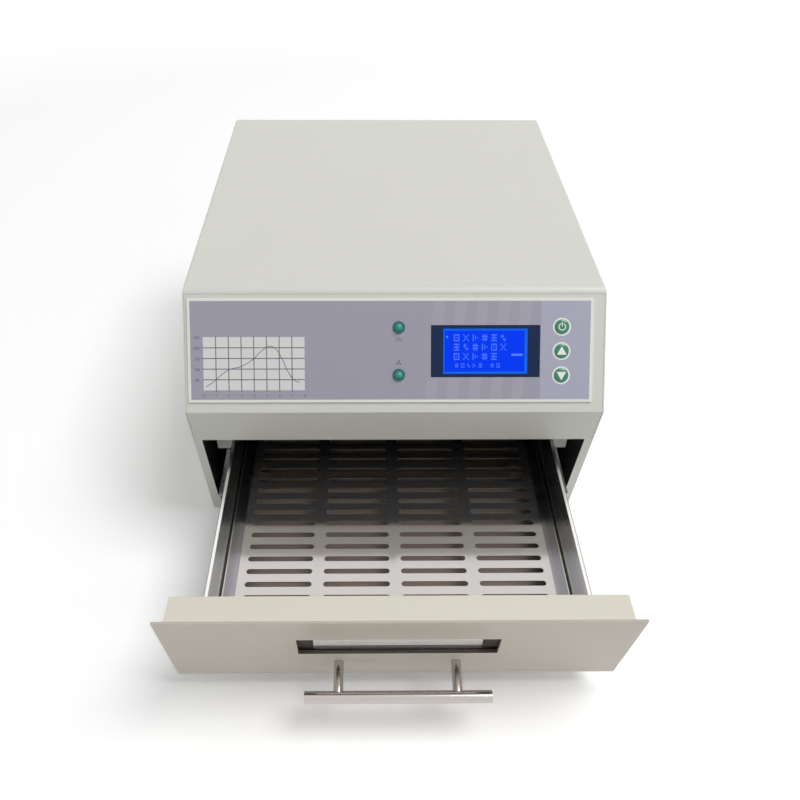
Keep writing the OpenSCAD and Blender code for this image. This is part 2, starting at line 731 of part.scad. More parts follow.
module terminal_block() {
    color(black) translate([in_w / 2 - block_x, hood_y1 - block_y, wool_z + sheet]) difference() {
        cube([block_w, block_d, block_h]);
        for (i = [0 : block_w / block_pitch - 1])
            translate([(i + 0.5) * block_pitch, block_d / 2, 6]) cylinder(d = block_hole, h = block_h);
    }
}

// A square axial fan standing on the back panel's inner face: frame, and rotor on its shaft
module fan_frame(side, depth) {
    r = side / 2 - 2;
    difference() {
        block([-side / 2, in_back - depth, -side / 2], [side / 2, in_back, side / 2]);
        rod_y(r, in_back - depth - 1, in_back + 1);
        for (x = [-1, 1], z = [-1, 1]) translate([x * (side / 2 - 4), 0, z * (side / 2 - 4)])
            rod_y(1.7, in_back - depth - 1, in_back + 1);
    }
    rod_y(r * 0.42, in_back - 4, in_back - 1);
    rod_y(1.5, in_back - depth + 4, in_back - 3.5);
    for (a = [0 : 3]) rotate([0, 45 + a * 90, 0]) block([r * 0.4, in_back - 3.5, -1.5],
        [r + 0.5, in_back - 1, 1.5]);
}
module fan_rotor(side, depth) {
    r = side / 2 - 2;
    y0 = in_back - depth + 2;
    y1 = in_back - 4.6;
    difference() {
        union() {
            rod_y(r * 0.42, y0, y1);
            intersection() {
                for (a = [0 : 6]) rotate([0, a * 360 / 7, 0])
                    translate([r * 0.38, y0 + 1, 0]) rotate([35, 0, 0])
                    cube([r, y1 - y0 - 3, 1.2]);
                rod_y(r - 0.8, y0, y1);
            }
        }
        rod_y(1.5 + pin_gap, y0 + 1.8, y1 + 1);
    }
}
module exhaust_fan_frame() { color(black) translate([0, 0, exhaust_z]) fan_frame(exhaust_side, exhaust_d); }
module exhaust_fan_rotor() { color(black) translate([0, 0, exhaust_z]) fan_rotor(exhaust_side, exhaust_d); }
module cooling_fan_frame() { color(black) translate([-cooling_x, 0, cooling_z]) fan_frame(cooling_side,
    cooling_d); }
module cooling_fan_rotor() { color(black) translate([-cooling_x, 0, cooling_z]) fan_rotor(cooling_side,
    cooling_d); }
// Guards over the fan outlets: flat rings under two crossed bars that reach the fan's screws
module fan_guard(side) {
    wire = 1.8;
    reach = (side / 2 - 4) * sqrt(2) + 3;
    for (r = [6 : 6 : side / 2 - 2]) difference() {
        rod_y(r + wire / 2, y_back, y_back + wire);
        rod_y(r - wire / 2, y_back - 1, y_back + wire + 1);
    }
    for (a = [45, 135]) rotate([0, a, 0]) block([-reach, y_back + wire / 2, -wire / 2],
        [reach, y_back + 1.5 * wire, wire / 2]);
}
module fan_guards() {
    color(bare) {
        translate([0, 0, exhaust_z]) fan_guard(exhaust_side);
        translate([-cooling_x, 0, cooling_z]) fan_guard(cooling_side);
    }
}

// Mains inlet with its pins and the fuse drawer under the socket
module power_inlet() {
    color(black) translate([inlet_x, 0, inlet_z]) {
        difference() {
            union() {
                block([-inlet_w / 2 + 0.2, y_back - inlet_depth, -inlet_h / 2 + 0.2],
                    [inlet_w / 2 - 0.2, y_back, inlet_h / 2 - 0.2]);
                block([-inlet_w / 2 - 3, y_back, -inlet_h / 2 - 3],
                    [inlet_w / 2 + 3, y_back + flange_t, inlet_h / 2 + 3]);
            }
            block([-socket_w / 2, y_back - 14, socket_z - socket_h / 2],
                [socket_w / 2, y_back + flange_t + 1, socket_z + socket_h / 2]);
            block([-fuse_w / 2 - fit, y_back - fuse_in, fuse_z - fuse_h / 2 - fit],
                [fuse_w / 2 + fit, y_back + flange_t + 1, fuse_z + fuse_h / 2 + fit]);
        }
        for (p = [[-6, -2], [6, -2], [0, 3]]) translate([p.x - 1, y_back - 15, socket_z + p.y - 2])
            cube([2, 13, 4]);
    }
}
module fuse_drawer() {
    color([0.12, 0.12, 0.13]) translate([inlet_x, 0, inlet_z + fuse_z]) difference() {
        union() {
            block([-fuse_w / 2, y_back - fuse_in + 1, -fuse_h / 2],
                [fuse_w / 2, y_back + flange_t, fuse_h / 2]);
            block([-fuse_w / 2 - 1, y_back + flange_t + fit, -fuse_h / 2 - 1],
                [fuse_w / 2 + 1, y_back + flange_t + 2, fuse_h / 2 + 1]);
            block([-fuse_w / 2 + 2, y_back + flange_t - 1, -fuse_h / 2 + 1],
                [fuse_w / 2 - 2, y_back + flange_t + 1, fuse_h / 2 - 1]);
        }
        rod_y(2.6, y_back - fuse_in - 1, y_back - 2);
    }
}
// Power switch: a body in the panel and a rocker on a pin through it
module switch_body() {
    w = switch_w - 0.4;
    h = switch_h - 0.4;
    color(black) translate([switch_x, 0, inlet_z]) {
        difference() {
            union() {
                block([-w / 2, y_back - 18, -h / 2], [w / 2, y_back, h / 2]);
                block([-w / 2 - 1.2, y_back, -h / 2 - 1.2], [w / 2 + 1.2, y_back + 1.5, h / 2 + 1.2]);
            }
            block([-w / 2 + 1.5, y_back - 12, -h / 2 + 1.5], [w / 2 - 1.5, y_back + 2, h / 2 - 1.5]);
        }
        translate([0, rocker_y, 0]) rod_x(1.2, -w / 2 + 1, w / 2 - 1);
    }
}
module switch_rocker() {
    w = switch_w - 0.4 - 3 - 2 * fit;
    half = (switch_h - 0.4) / 2 - 1.5 - 0.9;
    color([0.10, 0.10, 0.10]) translate([switch_x, rocker_y, inlet_z])
        rotate([rocker_tilt, 0, 0]) difference() {
        rotate([90, 0, 90]) linear_extrude(height = w, center = true)
            polygon([[-4, -3.5], [2.5, -half], [4, -half + 0.6], [2.6, 0], [4, half - 0.6], [2.5, half],
                [-4, 3.5]]);
        rod_x(1.2 + pin_gap, -w, w);
    }
}

// Rubber feet with a screw recess, and their screws
module at_feet() {
    for (x = [-1, 1], y = [hood_y0 + feet_front, hood_y1 + feet_back]) translate([x * feet_x, y, 0])
        children();
}
module feet() {
    color(black) at_feet() difference() {
        cylinder(r1 = 10.5, r2 = 12.5, h = foot_h);
        translate([0, 0, -1]) cylinder(r = 5, h = foot_h - 4);
        cylinder(r = foot_screw_r + 0.1, h = foot_h + 1);
    }
}
module foot_screws() {
    color(bare) at_feet() translate([0, 0, foot_h - 5]) mirror([0, 0, 1]) {
        cylinder(r = 3.8, h = 2.2);
        translate([0, 0, -5 - sheet]) cylinder(r = foot_screw_r, h = 5 + sheet);
    }
}
// Screws that hold the cover to the pan and the back panel to the cover's rear flange
module at_side_screws() {
    first = y_fold + side_screw_in;
    step = (in_back - side_screw_end - first) / 2;
    for (x = [-1, 1], i = [0 : 2]) translate([x * body_w / 2, first + i * step, foot_h + base_lip / 2])
        rotate([0, x * 90, 0]) children();
}
module at_back_screws() {
    x1 = in_w / 2 - lip_w / 2;
    z0 = foot_h + base_lip / 2;
    z1 = body_h - sheet - lip_w / 2;
    for (x = [-x1, 0, x1], z = [z0, z1]) translate([x, y_back, z]) rotate([-90, 0, 0]) children();
    for (x = [-x1, x1], k = [1, 2]) translate([x, y_back, z0 + (z1 - z0) * k / 3])
        rotate([-90, 0, 0]) children();
}
module housing_screws() {
    color(bare) {
        at_side_screws() pan_screw(screw_r - 0.05, 2.5 * sheet);
        at_back_screws() pan_screw(screw_r - 0.05, 2.5 * sheet);
    }
}

// Bracket beside the drawer: carries the fixed slide member and the hood, tied to the strip
module slide_bracket_left() {
    z0 = foot_h + sheet;
    end = slide_y + slide_len;
    color([0.72, 0.70, 0.64]) {
        block([-bracket_x, bracket_y, z0], [-slide_out, end, hood_bottom]);
        block([-bracket_x - 12, bracket_y, z0], [-bracket_x, end, z0 + sheet]);
        block([-bracket_x, tie_y, tie_bottom], [-slide_out, bracket_y, hood_bottom]);
        block([-slide_out - 7, tie_y, tie_bottom], [-slide_out + tie_w - 7, tie_y + sheet, z_strip]);
    }
}
module slide_bracket_right() { other_side() slide_bracket_left(); }

// Half of a slide member: a web at depth x0 with two legs of height h that reach from leg0 to leg1
module slide_member(x0, leg0, leg1, h, y, l) {
    difference() {
        block([leg0, y, slide_z - h / 2], [leg1, y + l, slide_z + h / 2]);
        block([leg0 - 1, y - 1, slide_z - h / 2 + slide_sheet],
            [x0 > leg0 ? x0 : leg1 + 1, y + l + 1, slide_z + h / 2 - slide_sheet]);
        if (x0 <= leg0) block([x0 + slide_sheet, y - 1, slide_z - h / 2 + slide_sheet],
            [leg1 + 1, y + l + 1, slide_z + h / 2 - slide_sheet]);
    }
}
module slide_outer_right() {
    color(bare) slide_member(slide_out - slide_sheet, wall_out + 4.2, slide_out, slide_h, slide_y,
        slide_len);
}
module slide_outer_left() { other_side() slide_outer_right(); }
module slide_middle_right() {
    x1 = slide_out - slide_sheet - 0.5;
    outer_gap = (slide_h - mid_h) / 2 - slide_sheet;
    inner_gap = (mid_h - inner_h) / 2 - slide_sheet;
    // The outer cages stay inside the fixed member when the drawer is right out
    cage_start = full_travel / 2 - mid_setback + 5;
    color(bare) slide_member(x1 - slide_sheet, wall_out + 2.2, x1, mid_h, mid_y, mid_len);
    // Ball cages above and below, outside and inside the middle member
    color([0.55, 0.57, 0.58]) for (s = [-1, 1]) {
        block([x1 - 4, mid_y + cage_start,
            slide_z + (s > 0 ? mid_h / 2 : -mid_h / 2 - outer_gap + cage_gap)],
            [x1 - 1, mid_y + mid_len - cage_end,
                slide_z + (s > 0 ? mid_h / 2 + outer_gap - cage_gap : -mid_h / 2)]);
        block([wall_out + 4, mid_y + inner_cage,
            slide_z + (s > 0 ? inner_h / 2 + cage_gap : -inner_h / 2 - inner_gap)],
            [wall_out + 7, mid_y + mid_len - inner_cage,
                slide_z + (s > 0 ? inner_h / 2 + inner_gap : -inner_h / 2 - cage_gap)]);
    }
}
module slide_middle_left() { other_side() slide_middle_right(); }
module slide_inner_right() {
    color(bare) opened() difference() {
        block([wall_out, slide_y, slide_z - inner_h / 2],
            [wall_out + inner_w, slide_y + slide_len - inner_short, slide_z + inner_h / 2]);
        block([wall_out + slide_sheet, slide_y - 1, slide_z - inner_h / 2 + slide_sheet],
            [wall_out + 2 * inner_w, slide_y + slide_len, slide_z + inner_h / 2 - slide_sheet]);
    }
}
module slide_inner_left() { other_side() slide_inner_right(); }

// Drawer front plate, as wide as the housing, with the window cut through it
module drawer_plate() {
    color(steel) opened() difference() {
        along_x([[door_y(plate_bottom), plate_bottom], [door_y(plate_bottom, plate_t), plate_bottom],
            [door_y(plate_top, plate_t), plate_top], [door_y(plate_top), plate_top]], body_w);
        on_plate() translate([0, -window_drop, 0]) cube([window_w, window_h, 20], center = true);
        on_plate() for (x = [-1, 1]) translate([x * post_pitch / 2, -handle_drop, -6])
            cylinder(r = 2.2, h = 10);
    }
}
// Insulated box behind the plate, open to the plate, with the inner window
module drawer_box() {
    w = box_w / 2;
    color([0.87, 0.86, 0.82]) opened() difference() {
        along_x(box_outline(0), box_w);
        along_x(box_outline(drawer_sheet), box_w - 2 * drawer_sheet);
        on_plate() translate([0, -window_drop, -box_d]) cube([window_w - 8, window_h, 12], center = true);
    }
}
// Side view of the box, all round smaller by t and open to the front
function box_outline(t) = let (z0 = box_bottom + t, z1 = plate_top - t, f = t > 0 ? plate_t - 1 : plate_t)
    [[door_y(z0, f), z0], [door_y(z0, box_back - t), z0], [door_y(z1, box_back - t), z1],
        [door_y(z1, f), z1]];
module drawer_wool() {
    z0 = box_bottom + drawer_sheet;
    z1 = plate_top - drawer_sheet;
    near = plate_t + 0.1;
    far = box_back - drawer_sheet;
    color(wool) opened() difference() {
        along_x([[door_y(z0, near), z0], [door_y(z0, far), z0], [door_y(z1, far), z1],
            [door_y(z1, near), z1]], box_w - 2 * drawer_sheet);
        on_plate() translate([0, -window_drop, 0]) 
            cube([window_w + seal_w + seal_room, window_h + seal_h + seal_room, 4 * box_back],
                center = true);
        on_plate() for (x = [-1, 1]) translate([x * post_pitch / 2, -handle_drop, -2 * post_room])
            cylinder(r = post_room, h = 2 * post_room + plate_t);
    }
}
// A frame or a pane at depth d behind the plate, t thick
module pane(w, h, d, t) {
    on_plate() translate([-w / 2, -window_drop - h / 2, -d - t]) cube([w, h, t]);
}
module window_glass() {
    color([0.75, 0.82, 0.85, 0.4]) opened() {
        pane(window_w + seal_w - 2, window_h + seal_h - 2, first_glass, glass_t);
        pane(window_w + seal_w - 2, window_h + seal_h - 2, inner_glass, glass_t);
    }
}
module window_gaskets() {
    color(black) opened() {
        difference() {
            pane(window_w + seal_w, window_h + seal_h, first_glass - gasket_t, gasket_t);
            pane(window_w, window_h, 0, box_back);
        }
        difference() {
            pane(window_w + seal_w, window_h + seal_h, first_glass + glass_t, gasket_t);
            pane(2 * lining_front, window_h, 0, box_back);
        }
    }
}
// Bright lining between the panes, with splayed ends
module window_lining() {
    d0 = first_glass + glass_t + gasket_t;
    d1 = inner_glass;
    h = window_h / 2;
    color(bare) opened() on_plate() translate([0, -window_drop, 0]) difference() {
        rotate([-90, 0, 0]) translate([0, 0, -h - 1]) linear_extrude(height = 2 * h + 2)
            polygon([[-lining_front - 1.5, d0], [lining_front + 1.5, d0], [lining_back + 1.5, d1],
                [-lining_back - 1.5, d1]]);
        rotate([-90, 0, 0]) translate([0, 0, -h]) linear_extrude(height = 2 * h)
            polygon([[-lining_front + 0.3, d0 - 1], [lining_front - 0.3, d0 - 1],
                [lining_back + 0.5, d1 + 1], [-lining_back - 0.5, d1 + 1]]);
    }
}

// Drawer sides with a turned out rim and a ledge for the tray
module drawer_side_right() {
    color(bare) opened() {
        translate([wall_x + drawer_sheet / 2, 0, 0]) along_x([[floor_y, floor_z], [drawer_end, floor_z],
            [drawer_end, side_top], [door_y(side_top, box_back), side_top]], drawer_sheet);
        block([wall_out, door_y(side_top - drawer_sheet, box_back), side_top - drawer_sheet],
            [wall_out + rim_w, drawer_end, side_top]);
        block([tray_w / 2 - strip_w - 1, tray_y, ledge_z],
            [wall_x, drawer_end - drawer_sheet, ledge_z + drawer_sheet]);
    }
}
module drawer_side_left() { other_side() drawer_side_right(); }
// Drawer floor with its upturned back wall
module drawer_floor() {
    color(bare) opened() {
        block([-wall_x, floor_y, floor_z], [wall_x, drawer_end, floor_z + drawer_sheet]);
        block([-wall_x, drawer_end - drawer_sheet, floor_z], [wall_x, drawer_end, tray_z + 14]);
    }
}
// Slotted tray
module tray() {
    first = tray_y + slot_start;
    color([0.82, 0.82, 0.83]) opened() difference() {
        block([-tray_w / 2, tray_y, tray_z - tray_t], [tray_w / 2, tray_y + tray_l, tray_z]);
        for (row = [0 : slot_rows - 1], i = [0 : slot_columns - 1])
            translate([(i - (slot_columns - 1) / 2) * (slot_len + slot_gap), first + row * slot_pitch,
                tray_z - tray_t - 1]) slot();
    }
}
module slot() {
    reach = (slot_len - slot_w) / 2;
    linear_extrude(height = tray_t + 2) {
        square([2 * reach, slot_w], center = true);
        for (x = [-reach, reach]) translate([x, 0]) circle(d = slot_w);
    }
}
module tray_strips() {
    color([0.60, 0.60, 0.61]) opened() for (s = [-1, 1]) difference() {
        translate([s * (tray_w / 2 - strip_w / 2), tray_y + tray_l / 2, tray_z + strip_t / 2])
            cube([strip_w, tray_l, strip_t], center = true);
        translate([s * (tray_w / 2 - strip_w / 2), tray_y + 8, tray_z - 1]) cylinder(r = 1.2, h = 4);
    }
}

// Handle: a round bar on two posts, with the posts' screws behind the plate
module handle() {
    color([0.75, 0.75, 0.74]) opened() on_plate() translate([0, -handle_drop, 0]) {
        translate([0, 0, handle_reach]) rod_x(bar_dia / 2, -bar_len / 2, bar_len / 2);
        for (x = [-1, 1]) translate([x * post_pitch / 2, 0, 0]) {
            cylinder(r = post_dia / 2, h = handle_reach);
            translate([0, 0, -3]) cylinder(r = 2, h = 4);
            translate([0, 0, -plate_t - 2.2]) cylinder(r = 4, h = 2.2);
        }
    }
}

outer_cover();
base_pan();
back_panel();
front_fascia();
control_plate();
panel_film();
display_frame();
display_screen();
lamp_rings();
lamp_lenses();
controller_board();
board_standoffs();
key_power();
key_up();
key_down();
chamber_hood();
chamber_wool();
floor_wool();
floor_shield();
reflector();
heater_tubes();
heater_caps();
thermocouples();
exhaust_duct();
electronics_shelf();
power_transformer();
relay_module();
terminal_block();
exhaust_fan_frame();
exhaust_fan_rotor();
cooling_fan_frame();
cooling_fan_rotor();
fan_guards();
power_inlet();
fuse_drawer();
switch_body();
switch_rocker();
feet();
foot_screws();
housing_screws();
slide_bracket_left();
slide_bracket_right();
slide_outer_left();
slide_outer_right();
slide_middle_left();
slide_middle_right();
slide_inner_left();
slide_inner_right();
drawer_plate();
drawer_box();
drawer_wool();
window_glass();
window_gaskets();
window_lining();
drawer_side_left();
drawer_side_right();
drawer_floor();
tray();
tray_strips();
handle();
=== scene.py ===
import math

import bmesh
import bpy
from mathutils import Matrix, Vector


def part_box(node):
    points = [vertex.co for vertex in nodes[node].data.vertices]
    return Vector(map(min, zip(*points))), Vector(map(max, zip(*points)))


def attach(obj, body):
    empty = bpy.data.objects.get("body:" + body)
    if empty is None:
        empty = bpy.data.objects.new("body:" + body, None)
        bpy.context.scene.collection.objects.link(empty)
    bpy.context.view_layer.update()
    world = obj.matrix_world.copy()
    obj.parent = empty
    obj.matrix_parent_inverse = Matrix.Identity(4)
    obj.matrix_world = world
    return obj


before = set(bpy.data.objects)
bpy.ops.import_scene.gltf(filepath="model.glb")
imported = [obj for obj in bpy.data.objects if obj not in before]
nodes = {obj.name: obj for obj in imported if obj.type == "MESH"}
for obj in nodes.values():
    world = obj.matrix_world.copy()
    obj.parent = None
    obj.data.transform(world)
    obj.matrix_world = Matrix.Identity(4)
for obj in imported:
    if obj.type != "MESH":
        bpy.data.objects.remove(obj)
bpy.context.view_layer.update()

# The sloping panel: its fold in millimetres and its turn in degrees
FOLD_Y = -151.26
TOP_Z = 260.0
PANEL_TURN = 53.0
PANEL = (Matrix.Translation((0, FOLD_Y / 1000, TOP_Z / 1000))
         @ Matrix.Rotation(math.radians(PANEL_TURN), 4, "X") @ Matrix.Scale(0.001, 4))


def on_panel(name):
    """A node's ranges on the panel, in millimetres: x to the right, v down from the fold, z outwards."""
    to_panel = PANEL.inverted()
    points = [to_panel @ vertex.co for vertex in nodes[name].data.vertices]
    low = [min(p[k] for p in points) for k in range(3)]
    high = [max(p[k] for p in points) for k in range(3)]
    return (low[0], high[0]), (-high[1], -low[1]), (low[2], high[2])


def middle_on_panel(name):
    """The middle of a node on the panel, in millimetres: x and v."""
    x, v = on_panel(name)[:2]
    return (x[0] + x[1]) / 2, (v[0] + v[1]) / 2


# Places on the panel, in millimetres
FILM_X, FILM_V, FILM_Z = on_panel("panel_film")
FRAME_X, FRAME_V = on_panel("display_frame")[:2]
SCREEN_X, SCREEN_V, SCREEN_Z = on_panel("display_screen")
LENS_X, LENS_V = on_panel("lamp_lenses")[:2]
LENS_R = (LENS_X[1] - LENS_X[0]) / 2
LAMP_X = LENS_X[0] + LENS_R
LAMP_V = (LENS_V[0] + LENS_R, LENS_V[1] - LENS_R)
KEYS = {name: middle_on_panel(f"key_{name}") for name in ("power", "up", "down")}
KEY_TOP = on_panel("key_power")[2][1]

# Heights of the print over the panel, in millimetres
TONE_Z = FILM_Z[1] + 0.02
FIELD_Z = FILM_Z[1] + 0.03
MARK_Z = FILM_Z[1] + 0.04
GRID_Z = FILM_Z[1] + 0.05
CURVE_Z = FILM_Z[1] + 0.07
SYMBOL_Z = KEY_TOP + 0.03
EDGE_Z = SCREEN_Z[1] + 0.05
DOTS_Z = SCREEN_Z[1] + 0.06

# Places where a surface changes its look, in metres
SIDE_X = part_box("drawer_side_right")[1][0]
SIDE_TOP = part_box("drawer_side_right")[1][2]
WALL_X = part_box("drawer_floor")[1][0]
RIM_Z = SIDE_TOP - 0.0008
RIM_EDGE_Z = SIDE_TOP - 0.0012
RIM_EDGE_X = SIDE_X - 0.0006
LEDGE_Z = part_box("tray")[0][2] + 0.0004
LEDGE_X = (WALL_X - 0.0013, WALL_X - 0.00004)
SILL_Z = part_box("window_glass")[1][2]
TIE_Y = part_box("slide_bracket_left")[0][1] + 0.002
LINING_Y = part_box("window_lining")[0][1] + 0.0055
WOOL_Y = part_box("chamber_hood")[0][1] + 0.001

# Limits on a normal, past which a face counts as turned back, down or up
LEAN_BACK = 0.1
LEAN_DOWN = -0.8
LEAN_UP = 0.5
# Limit on the normal's X times the place's X in metres, below which a face looks inwards
LEAN_IN = -0.1

# Sockets of a mix node: first value, second value and result
COLOUR_MIX = (6, 7, 2)
NUMBER_MIX = (2, 3, 0)

# What all finishes share
COAT_ROUGHNESS = 0.12
CLOUD_DETAIL = 4.0
GRAIN_DETAIL = 3.0
LEAST_ROUGHNESS = 0.02


# Materials

def linear(*display):
    """Linear colour from display values of 0 to 255."""
    shares = [value / 255 for value in display]
    return tuple(c / 12.92 if c <= 0.04 else ((c + 0.055) / 1.055) ** 2.4 for c in shares) + (1,)


def scaled(colour, k):
    """The colour made k times as bright."""
    return tuple(min(1.0, c * k) for c in colour[:3]) + (1,)


def finish(name, colour, rough, metal=0.0, vary=0.05, cloud=9.0, grain=900.0, depth=0.00004,
           stretch=(1, 1, 1), gloss=0.06, coat=0.0, sheer=0.0, ior=1.5, glow=None, power=0.0):
    """A procedural finish: a cloudy colour, with fine grain in the bump and in the roughness.

    The colour wanders by vary and the roughness by gloss. Clouds and grain are noise scales, drawn
    out by stretch, and depth is the height of the grain in metres. Sheer is the light let through.
    """
    mat = bpy.data.materials.new(name)
    mat.use_nodes = True
    tree = mat.node_tree
    shader = tree.nodes["Principled BSDF"]
    shader.inputs["Metallic"].default_value = metal
    shader.inputs["IOR"].default_value = ior
    shader.inputs["Coat Weight"].default_value = coat
    shader.inputs["Coat Roughness"].default_value = COAT_ROUGHNESS
    shader.inputs["Transmission Weight"].default_value = sheer
    if glow:
        shader.inputs["Emission Color"].default_value = glow
        shader.inputs["Emission Strength"].default_value = power
    where = tree.nodes.new("ShaderNodeTexCoord")
    place = tree.nodes.new("ShaderNodeMapping")
    place.inputs["Scale"].default_value = stretch
    tree.links.new(where.outputs["Object"], place.inputs["Vector"])

    def noise(scale, detail):
        node = tree.nodes.new("ShaderNodeTexNoise")
        node.inputs["Scale"].default_value = scale
        node.inputs["Detail"].default_value = detail
        tree.links.new(place.outputs["Vector"], node.inputs["Vector"])
        return node.outputs["Fac"]

    clouds = noise(cloud, CLOUD_DETAIL)
    fine = noise(grain, GRAIN_DETAIL)
    first, second, result = COLOUR_MIX
    mix = tree.nodes.new("ShaderNodeMix")
    mix.data_type = "RGBA"
    mix.inputs[first].default_value = scaled(colour, 1 - vary)
    mix.inputs[second].default_value = scaled(colour, 1 + vary)
    tree.links.new(clouds, mix.inputs[0])
    tree.links.new(mix.outputs[result], shader.inputs["Base Color"])
    spread = tree.nodes.new("ShaderNodeMapRange")
    spread.inputs["To Min"].default_value = max(LEAST_ROUGHNESS, rough - gloss)
    spread.inputs["To Max"].default_value = min(1.0, rough + gloss)
    tree.links.new(fine if metal else clouds, spread.inputs["Value"])
    tree.links.new(spread.outputs["Result"], shader.inputs["Roughness"])
    bump = tree.nodes.new("ShaderNodeBump")
    bump.inputs["Strength"].default_value = 1.0
    bump.inputs["Distance"].default_value = depth
    tree.links.new(fine, bump.inputs["Height"])
    tree.links.new(bump.outputs["Normal"], shader.inputs["Normal"])
    return mat


def split(mat, colour, rough, test):
    """Gives the part of the surface that passes the test another colour and roughness."""
    tree = mat.node_tree
    shader = tree.nodes["Principled BSDF"]
    where = next(n for n in tree.nodes if n.type == "TEX_COORD")

    def parts(output):
        node = tree.nodes.new("ShaderNodeSeparateXYZ")
        tree.links.new(where.outputs[output], node.inputs[0])
        return node.outputs

    def math_node(kind, a, b):
        node = tree.nodes.new("ShaderNodeMath")
        node.operation = kind
        for socket, value in zip(node.inputs, (a, b)):
            if isinstance(value, float):
                socket.default_value = value
            else:
                tree.links.new(value, socket)
        return node.outputs[0]

    passed = test(parts, math_node)
    for name, value in (("Base Color", colour), ("Roughness", rough)):
        mix = tree.nodes.new("ShaderNodeMix")
        if name == "Base Color":
            mix.data_type = "RGBA"
        first, second, result = COLOUR_MIX if name == "Base Color" else NUMBER_MIX
        tree.links.new(shader.inputs[name].links[0].from_socket, mix.inputs[first])
        mix.inputs[second].default_value = value
        tree.links.new(passed, mix.inputs[0])
        tree.links.new(mix.outputs[result], shader.inputs[name])


# Tests for split: parts gives X, Y and Z of the place or the normal, and op works on them

def faces_in(parts, op):
    """Painted shade on the inner faces of the cover: their normals point towards the middle."""
    inward = op("MULTIPLY", parts("Normal")["X"], parts("Object")["X"])
    return op("LESS_THAN", inward, LEAN_IN)


def faces_back(parts, op):
    """Painted shade on the inner faces of the front: their normals point to the back or straight down."""
    back = op("GREATER_THAN", parts("Normal")["Y"], LEAN_BACK)
    return op("MAXIMUM", back, op("LESS_THAN", parts("Normal")["Z"], LEAN_DOWN))


def behind_ties(parts, op):
    """Painted shade on the brackets behind their front faces."""
    return op("GREATER_THAN", parts("Object")["Y"], TIE_Y)


def front_of_lining(parts, op):
    """Painted shade on the front edge of the window's lining."""
    return op("LESS_THAN", parts("Object")["Y"], LINING_Y)


def front_of_wool(parts, op):
    """Painted shade on the front of the wool around the chamber."""
    return op("LESS_THAN", parts("Object")["Y"], WOOL_Y)


def on_sill(parts, op):
    """Painted shade on the lower face of the window's cut through the drawer plate."""
    low = op("LESS_THAN", parts("Object")["Z"], SILL_Z)
    return op("MULTIPLY", low, op("GREATER_THAN", parts("Normal")["Z"], LEAN_UP))


def on_ledge(parts, op):
    """Painted shade on the ledge beside the wall, which with its reflection shows as a dark line between
    the tray and the wall.
    """
    low = op("LESS_THAN", parts("Object")["Z"], LEDGE_Z)
    side = op("ABSOLUTE", parts("Object")["X"], 0.0)
    beside = op("MULTIPLY", op("GREATER_THAN", side, LEDGE_X[0]), op("LESS_THAN", side, LEDGE_X[1]))
    return op("MULTIPLY", low, beside)


def on_rim(parts, op):
    """A painted highlight on the top of the drawer's sides."""
    return op("GREATER_THAN", parts("Object")["Z"], RIM_Z)


def rim_edge(parts, op):
    """Painted shade on the outer edge of the turned out rim."""
    high = op("GREATER_THAN", parts("Object")["Z"], RIM_EDGE_Z)
    side = op("ABSOLUTE", parts("Object")["X"], 0.0)
    return op("MULTIPLY", high, op("GREATER_THAN", side, RIM_EDGE_X))


# Paint

def paint(name, colour, rough=0.42, gloss=0.06):
    """Powder paint with a fine orange peel."""
    return finish(name, colour, rough, vary=0.02, grain=700, depth=0.00003, gloss=gloss)


cream = paint("cream_paint", linear(213, 213, 206), gloss=0.05)
front_paint = paint("front_paint", linear(213, 213, 206), gloss=0.05)
# Painted shade: the faces of the front that turn back or down are made dark navy
split(front_paint, linear(34, 38, 52), 0.6, faces_back)
cover_paint = paint("cover_paint", linear(215, 215, 207), gloss=0.05)
# Painted shade: the inner faces of the cover are made dark grey
split(cover_paint, linear(58, 56, 54), 0.6, faces_in)
bracket_paint = paint("bracket_paint", linear(213, 213, 206))
# Painted shade: the brackets are made dark behind their front faces
split(bracket_paint, linear(52, 50, 49), 0.6, behind_ties)
box_paint = paint("box_paint", linear(219, 215, 202), rough=0.4)
plate_paint = finish("plate_paint", linear(233, 233, 227), 0.40, vary=0.02, grain=800, depth=0.00002)
satin_paint = finish("satin_paint", linear(191, 183, 169), 0.2, vary=0.025, grain=500, depth=0.00001)
# Painted shade: the sill of the window's cut is made dark
split(satin_paint, linear(86, 80, 71), 0.5, on_sill)


# Film and inks

def film(name, colour):
    """The smooth printed film."""
    return finish(name, colour, 0.34, vary=0.03, grain=1500, depth=0.000008)


def ink(name, colour, vary=0.05):
    """A thin layer of ink on the film."""
    return finish(name, colour, 0.4, vary=vary, grain=1500, depth=0.000005)


lilac = film("film_lilac", linear(159, 157, 171))
lilac_deep = film("film_tone", linear(170, 171, 189))
lilac_pale = film("film_band_pale", linear(165, 163, 177))
ink_white = ink("ink_white", linear(240, 240, 237), vary=0.02)
ink_chart = ink("ink_chart", linear(218, 218, 217), vary=0.02)
ink_dark = ink("ink_dark", linear(82, 82, 96))
ink_grey = ink("ink_grey", linear(118, 118, 134))
ink_blue = ink("ink_blue", linear(64, 68, 120))

# Metals, brushed along the axis that stretch shortens
steel = finish("stainless_steel", linear(214, 214, 209), 0.2, metal=1.0, grain=420,
               stretch=(1, 0.04, 1), depth=0.00001, gloss=0.08)
# Painted shade: the ledge beside the wall is made nearly black
split(steel, linear(30, 28, 30), 0.5, on_ledge)
# Painted highlight: the top of the drawer's sides is made nearly white
split(steel, linear(246, 244, 240), 0.25, on_rim)
